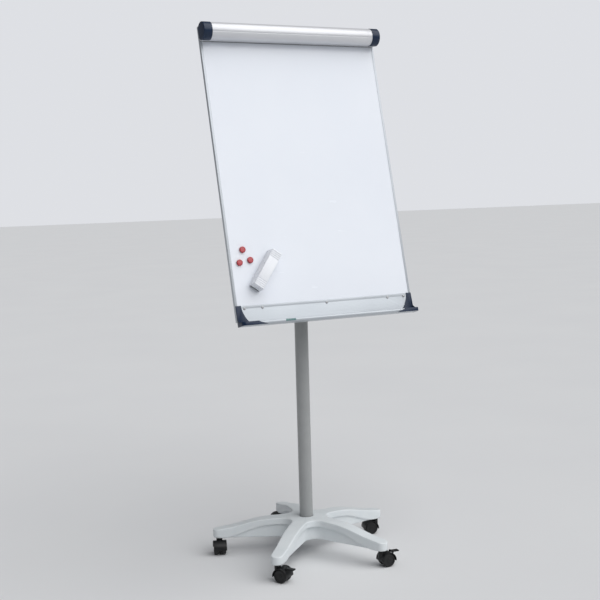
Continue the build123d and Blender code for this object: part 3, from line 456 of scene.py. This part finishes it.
# Hot-dip zinc freezes in spangles about 12 mm across, each with its own tone.
galvanised, places = new_material("galvanised_sheet")
spangles = add_node(galvanised, "ShaderNodeTexVoronoi", {"Vector": places, "Scale": 83.0})
spangle_tone = add_node(galvanised, "ShaderNodeSeparateColor", {"Color": spangles.outputs["Color"]})
tone = add_node(galvanised, "ShaderNodeMixRGB", {
    "Fac": spangle_tone.outputs["Red"], "Color1": srgb("#a8acaf"), "Color2": srgb("#bfc3c6"),
})
gloss = add_node(galvanised, "ShaderNodeMapRange", {
    "Value": spangle_tone.outputs["Green"], "To Min": 0.36, "To Max": 0.55,
})
add_node(galvanised, "Principled BSDF", {
    "Base Color": tone.outputs["Color"], "Roughness": gloss.outputs["Result"], "Metallic": 0.85,
})
frame["nodes"]["back_sheet"].material_slots[0].material = galvanised

# ---- Board frame and back rails ----------------------------------------------------------------
# Thin channels of anodised aluminium, mitred round the board's edge, and two rectangular tubes on
# its back. Satin metal, with the fine lines that the die leaves along each extrusion.

anodised, places = new_material("anodised_aluminium")
clouds = add_node(anodised, "ShaderNodeTexNoise", {"Vector": places, "Scale": 5.0, "Detail": 2.0})
along_die = add_node(anodised, "ShaderNodeMapping", {"Vector": places, "Scale": (0.01, 1.0, 1.0)})
# Die lines 1.2 mm apart; the real ones are finer.
die_lines = add_node(anodised, "ShaderNodeTexNoise", {
    "Vector": along_die.outputs["Vector"], "Scale": 830.0, "Detail": 2.0,
})
tone = add_node(anodised, "ShaderNodeMixRGB", {
    "Fac": clouds.outputs["Fac"], "Color1": srgb("#b2b8be"), "Color2": srgb("#c2c7cc"),
})
gloss = add_node(anodised, "ShaderNodeMapRange", {
    "Value": die_lines.outputs["Fac"], "To Min": 0.32, "To Max": 0.5,
})
bump = add_node(anodised, "ShaderNodeBump", {"Height": die_lines.outputs["Fac"], "Distance": 0.00002})
add_node(anodised, "Principled BSDF", {
    "Base Color": tone.outputs["Color"], "Roughness": gloss.outputs["Result"],
    "Normal": bump.outputs["Normal"], "Metallic": 0.4,
})

finish("frame_sides", anodised, 0.0006, 3)
finish("frame_top_and_bottom", anodised, 0.0006, 3)
finish("back_rails", anodised, 0.0012, 3)
finish("rail_screws", zinc_plate, 0.0006)

# ---- Pen tray ----------------------------------------------------------------------------------
# One aluminium extrusion: a wall screwed against the board, a floor, and a round bead for a lip.
# Its five pan-head screws have cross recesses.

finish("pen_tray", anodised, 0.0005, 3)

# Place that turns the board's own measure (x along it, y up it, z out of its writing surface) into
# the room's.
mounts = {mount["name"]: mount for mount in frame["record"]["mounts"]}
out_of_board = Vector(mounts["pad_pin_left"]["axis"])
up_board = out_of_board.cross(Vector((1, 0, 0)))
pin_across, pin_up, pin_out = -0.140, 1.0230, 0.0162    # the left pad pin, in the board's measure
board_foot = (
    Vector(mounts["pad_pin_left"]["pos_m"]) - Vector((pin_across, 0, 0)) - up_board * pin_up
    - out_of_board * pin_out
)
on_board = Matrix((
    (1, up_board.x, out_of_board.x, board_foot.x),
    (0, up_board.y, out_of_board.y, board_foot.y),
    (0, up_board.z, out_of_board.z, board_foot.z),
    (0, 0, 0, 1),
))

screw_radius = 0.0045
screw_rise = 0.0022
screw_round = 0.0015
recess_size = (0.0048, 0.0009, 0.0026)
bpy.ops.object.select_all(action="DESELECT")
bpy.ops.mesh.primitive_cylinder_add(
    vertices=40, radius=screw_radius, depth=screw_rise, location=(0, 0, screw_rise / 2),
)
screw = bpy.context.object
bpy.ops.object.transform_apply(location=True)
select_where(screw, "EDGE", lambda edge: (edge_height(screw, edge) or 0) > screw_rise / 2)
bpy.ops.mesh.bevel(offset=screw_round, segments=4)
bpy.ops.object.mode_set(mode="OBJECT")
bpy.ops.object.select_all(action="DESELECT")
bpy.ops.mesh.primitive_cube_add(size=1, location=(0, 0, screw_rise), scale=recess_size)
recess = bpy.context.object
bpy.ops.object.transform_apply(location=True, scale=True)
for quarter in range(2):
    cut = screw.modifiers.new("cross_recess", "BOOLEAN")
    cut.operation = "DIFFERENCE"
    cut.object = recess
    apply_modifiers(screw)
    recess.data.transform(Matrix.Rotation(math.radians(90), 4, "Z"))
bpy.data.objects.remove(recess)
select_only(screw)
bpy.ops.object.shade_smooth_by_angle(angle=math.radians(40))

screw_row = 0.045                      # above the board's lower edge
tray_face = 0.0032                     # the wall's face, out of the writing surface
screw_places = (-0.318, -0.250, 0.0, 0.250, 0.318)
stop_turn = 0.7                        # each screw stops this much further round than the last
screws = []
for order, across in enumerate(screw_places):
    seat = on_board @ Matrix.Translation((across, screw_row, tray_face))
    screws.append(copy_to(screw, f"tray_screw_{order}", seat @ Matrix.Rotation(stop_turn * order, 4, "Z")))
bpy.data.objects.remove(screw)
select_only(screws[0])
for screw in screws:
    screw.select_set(True)
bpy.ops.object.join()
screws[0].name = "tray_screws_finished"
fit_piece(screws[0], zinc_plate, "tray_screws")

# ---- Tray corners and label --------------------------------------------------------------------
# Dark blue ABS mouldings that close the tray's ends and lap the frame, satin with a light grain. A
# plain green label of printed film is stuck to the tray's lip.

blue_abs, places = new_material("dark_blue_abs_moulded")
clouds = add_node(blue_abs, "ShaderNodeTexNoise", {"Vector": places, "Scale": 50.0, "Detail": 4.0})
grain = add_node(blue_abs, "ShaderNodeTexNoise", {"Vector": places, "Scale": 1000.0, "Detail": 2.0})
tone = add_node(blue_abs, "ShaderNodeMixRGB", {
    "Fac": clouds.outputs["Fac"], "Color1": srgb("#071c36"), "Color2": srgb("#0d2846"),
})
gloss = add_node(blue_abs, "ShaderNodeMapRange", {
    "Value": clouds.outputs["Fac"], "To Min": 0.26, "To Max": 0.42,
})
bump = add_node(blue_abs, "ShaderNodeBump", {"Height": grain.outputs["Fac"], "Distance": 0.00004})
add_node(blue_abs, "Principled BSDF", {
    "Base Color": tone.outputs["Color"], "Roughness": gloss.outputs["Result"],
    "Normal": bump.outputs["Normal"], "IOR": 1.54, "Specular IOR Level": 0.35,
})
finish("tray_corner_left", blue_abs, 0.0009, 3)
finish("tray_corner_right", blue_abs, 0.0009, 3)

label_film, places = new_material("green_printed_film")
print_dots = add_node(label_film, "ShaderNodeTexNoise", {
    "Vector": places, "Scale": 250.0, "Detail": 3.0,
})
tone = add_node(label_film, "ShaderNodeMixRGB", {
    "Fac": print_dots.outputs["Fac"], "Color1": srgb("#4f7476"), "Color2": srgb("#658988"),
})
gloss = add_node(label_film, "ShaderNodeMapRange", {
    "Value": print_dots.outputs["Fac"], "To Min": 0.2, "To Max": 0.34,
})
add_node(label_film, "Principled BSDF", {
    "Base Color": tone.outputs["Color"], "Roughness": gloss.outputs["Result"], "IOR": 1.5,
    "Coat Weight": 0.3,
})
finish("tray_label", label_film, 0.00015)

# ---- Pad clamp bar -----------------------------------------------------------------------------
# A round-fronted aluminium extrusion, lacquered silver white, with one thin groove along it. It
# swings up on a steel rod that runs through its end caps.

bar_lacquer, places = new_material("silver_lacquer_on_aluminium")
clouds = add_node(bar_lacquer, "ShaderNodeTexNoise", {"Vector": places, "Scale": 6.0, "Detail": 2.0})
along_bar = add_node(bar_lacquer, "ShaderNodeMapping", {"Vector": places, "Scale": (0.01, 1.0, 1.0)})
# Die lines under the lacquer, drawn 1.5 mm apart.
drawn = add_node(bar_lacquer, "ShaderNodeTexNoise", {
    "Vector": along_bar.outputs["Vector"], "Scale": 660.0, "Detail": 2.0,
})
tone = add_node(bar_lacquer, "ShaderNodeMixRGB", {
    "Fac": clouds.outputs["Fac"], "Color1": srgb("#d6d7db"), "Color2": srgb("#e2e3e6"),
})
gloss = add_node(bar_lacquer, "ShaderNodeMapRange", {
    "Value": drawn.outputs["Fac"], "To Min": 0.32, "To Max": 0.44,
})
bump = add_node(bar_lacquer, "ShaderNodeBump", {"Height": drawn.outputs["Fac"], "Distance": 0.00002})
add_node(bar_lacquer, "Principled BSDF", {
    "Base Color": tone.outputs["Color"], "Roughness": gloss.outputs["Result"],
    "Normal": bump.outputs["Normal"], "Metallic": 0.3, "Coat Weight": 0.2, "Coat Roughness": 0.15,
})

bar_radius = 0.031
bar_wall = 0.002
bar_length = 0.7006
bar_height = 1.0314                    # its middle, up the board
bar_stand = 0.029                      # and out of it
bar_steps = 144                        # steps of a whole turn
foot_turn = 205                        # where the round front ends, in degrees from its top
groove_turn = 112
groove_half = 2.6                      # degrees
groove_depth = 0.0014
seat_height = 0.0046                   # the strip's seat, out of the writing surface
seat_width = 0.008


def turn_round_bar(point):
    """Degrees from the bar's top, forwards, of a point on it."""
    return math.degrees(math.atan2(point.z - bar_stand, point.y - bar_height)) % 360


bpy.ops.object.select_all(action="DESELECT")
bpy.ops.mesh.primitive_circle_add(
    vertices=bar_steps, radius=bar_radius - bar_wall / 2, location=(-bar_length / 2, bar_height, bar_stand),
    rotation=(0, math.radians(90), 0),
)
bar = bpy.context.object
bar.name = "clamp_bar_finished"
bpy.ops.object.transform_apply(location=True, rotation=True)
half_step = 180 / bar_steps
behind = (foot_turn + half_step, 360 - half_step)
select_where(bar, "VERT", lambda vertex: behind[0] < turn_round_bar(vertex.co) < behind[1])
bpy.ops.mesh.delete(type="VERT")
select_where(bar, "VERT", lambda vertex: abs(turn_round_bar(vertex.co) - groove_turn) < groove_half)
groove_way = math.radians(groove_turn)
bpy.ops.transform.translate(
    value=(0, -groove_depth * math.cos(groove_way), -groove_depth * math.sin(groove_way)),
)
bpy.ops.object.mode_set(mode="OBJECT")
foot = max(bar.data.vertices, key=lambda vertex: turn_round_bar(vertex.co) % 359).co.copy()
select_where(bar, "VERT", lambda vertex: (vertex.co - foot).length < 0.0001)
for up, out in ((0, seat_height + bar_wall / 2 - foot.z), (seat_width, 0)):
    bpy.ops.mesh.extrude_region_move(TRANSFORM_OT_translate={"value": (0, up, out)})
bpy.ops.mesh.select_mode(type="EDGE")
bpy.ops.mesh.select_all(action="SELECT")
bpy.ops.mesh.extrude_region_move(TRANSFORM_OT_translate={"value": (bar_length, 0, 0)})
bpy.ops.mesh.select_all(action="SELECT")
bpy.ops.mesh.normals_make_consistent(inside=False)
bpy.ops.object.mode_set(mode="OBJECT")
wall = bar.modifiers.new("wall", "SOLIDIFY")
wall.thickness = bar_wall
wall.offset = 0
bar.matrix_world = on_board
select_only(bar)
bpy.ops.object.transform_apply(location=True, rotation=True, scale=True)
ease_edges(bar, 0.0003)
fit_piece(bar, bar_lacquer, "clamp_bar")

# ---- Clamp's caps, rail and pins ---------------------------------------------------------------
# Dark blue ABS caps close the bar's ends and hold its hinge rod. Two steel springs press it shut on
# an aluminium rail. The pad hangs on two pins that slide along a track in the rail.

finish("clamp_cap_left", blue_abs, 0.0009, 3)
finish("clamp_cap_right", blue_abs, 0.0009, 3)
finish("clamp_hinge_rod", zinc_plate, turned_edge)
finish("clamp_mount", anodised, 0.0003)
finish("pad_pin_left", blue_abs, 0.0005)
finish("pad_pin_right", blue_abs, 0.0005)
frame["nodes"]["clamp_springs"].material_slots[0].material = zinc_plate

# A strip of black rubber along the bar's foot grips the pad.
rubber, places = new_material("epdm_rubber")
dust = add_node(rubber, "ShaderNodeTexNoise", {"Vector": places, "Scale": 100.0, "Detail": 3.0})
tone = add_node(rubber, "ShaderNodeMixRGB", {
    "Fac": dust.outputs["Fac"], "Color1": srgb("#141517"), "Color2": srgb("#232427"),
})
gloss = add_node(rubber, "ShaderNodeMapRange", {
    "Value": dust.outputs["Fac"], "To Min": 0.55, "To Max": 0.8,
})
add_node(rubber, "Principled BSDF", {
    "Base Color": tone.outputs["Color"], "Roughness": gloss.outputs["Result"], "IOR": 1.52,
})
finish("clamp_grip_strip", rubber, 0.0004)

# ---- Eraser ------------------------------------------------------------------------------------
# A white ABS grip, with finger ribs across both ends of its top, over a thick pad of grey wool felt
# that wipes the board. The grip's long sides reach down past the felt's upper edge.

white_abs, places = new_material("white_abs_moulded")
clouds = add_node(white_abs, "ShaderNodeTexNoise", {"Vector": places, "Scale": 40.0, "Detail": 3.0})
grain = add_node(white_abs, "ShaderNodeTexNoise", {"Vector": places, "Scale": 1000.0, "Detail": 2.0})
tone = add_node(white_abs, "ShaderNodeMixRGB", {
    "Fac": clouds.outputs["Fac"], "Color1": srgb("#e9ecf2"), "Color2": srgb("#f2f4f8"),
})
gloss = add_node(white_abs, "ShaderNodeMapRange", {
    "Value": clouds.outputs["Fac"], "To Min": 0.22, "To Max": 0.36,
})
bump = add_node(white_abs, "ShaderNodeBump", {"Height": grain.outputs["Fac"], "Distance": 0.00002})
add_node(white_abs, "Principled BSDF", {
    "Base Color": tone.outputs["Color"], "Roughness": gloss.outputs["Result"],
    "Normal": bump.outputs["Normal"], "IOR": 1.54,
})
finish("eraser_body", white_abs, 0.0006, 3)

felt, places = new_material("pressed_wool_felt")
# Matted fibres, in clumps of about 1.4 mm.
fibres = add_node(felt, "ShaderNodeTexNoise", {
    "Vector": places, "Scale": 710.0, "Detail": 5.0, "Roughness": 0.7,
})
tone = add_node(felt, "ShaderNodeMixRGB", {
    "Fac": fibres.outputs["Fac"], "Color1": srgb("#24282c"), "Color2": srgb("#5b6167"),
})
bump = add_node(felt, "ShaderNodeBump", {"Height": fibres.outputs["Fac"], "Distance": 0.0005})
add_node(felt, "Principled BSDF", {
    "Base Color": tone.outputs["Color"], "Roughness": 0.95, "Normal": bump.outputs["Normal"],
    "Sheen Weight": 0.3, "Sheen Roughness": 0.5,
})
finish("eraser_felt", felt, 0.0012, 3)

# ---- Magnets -----------------------------------------------------------------------------------
# Three round board magnets: a glossy red polystyrene shell, with a soft edge and a shallow dish in
# its top, pressed over a ferrite disc.

red_shell, places = new_material("red_polystyrene")
clouds = add_node(red_shell, "ShaderNodeTexNoise", {"Vector": places, "Scale": 125.0, "Detail": 2.0})
tone = add_node(red_shell, "ShaderNodeMixRGB", {
    "Fac": clouds.outputs["Fac"], "Color1": srgb("#a81625"), "Color2": srgb("#b91f2e"),
})
gloss = add_node(red_shell, "ShaderNodeMapRange", {
    "Value": clouds.outputs["Fac"], "To Min": 0.2, "To Max": 0.32,
})
add_node(red_shell, "Principled BSDF", {
    "Base Color": tone.outputs["Color"], "Roughness": gloss.outputs["Result"], "IOR": 1.59,
    "Coat Weight": 0.25,
})

magnet_radius = 0.011
magnet_rise = 0.008
shell_round = 0.0026
lip_width = 0.0012
dish_slope = 0.0016
hollow_depth = 0.0006                  # of the dish on top, and of the recess underneath
bpy.ops.object.select_all(action="DESELECT")
bpy.ops.mesh.primitive_cylinder_add(
    vertices=64, radius=magnet_radius, depth=magnet_rise, location=(0, 0, magnet_rise / 2),
)
magnet = bpy.context.object
bpy.ops.object.transform_apply(location=True)
select_where(magnet, "EDGE", lambda edge: (edge_height(magnet, edge) or 0) > magnet_rise / 2)
bpy.ops.mesh.bevel(offset=shell_round, segments=6)
select_where(magnet, "FACE", lambda face: face.normal.z > 0.99)
bpy.ops.mesh.inset(thickness=lip_width)
bpy.ops.mesh.inset(thickness=dish_slope)
bpy.ops.transform.translate(value=(0, 0, -hollow_depth))
select_where(magnet, "FACE", lambda face: face.normal.z < -0.99)
bpy.ops.mesh.inset(thickness=lip_width)
bpy.ops.transform.translate(value=(0, 0, hollow_depth))
bpy.ops.object.mode_set(mode="OBJECT")
ease_edges(magnet, 0.0003)
for number in (1, 2, 3):
    low, high = (Vector(corner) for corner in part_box(f"magnet_{number}"))
    seat = (low + high) / 2 - out_of_board * magnet_rise / 2
    finished = copy_to(magnet, f"red_magnet_{number}", facing(seat, out_of_board))
    fit_piece(finished, red_shell, f"magnet_{number}")
bpy.data.objects.remove(magnet)
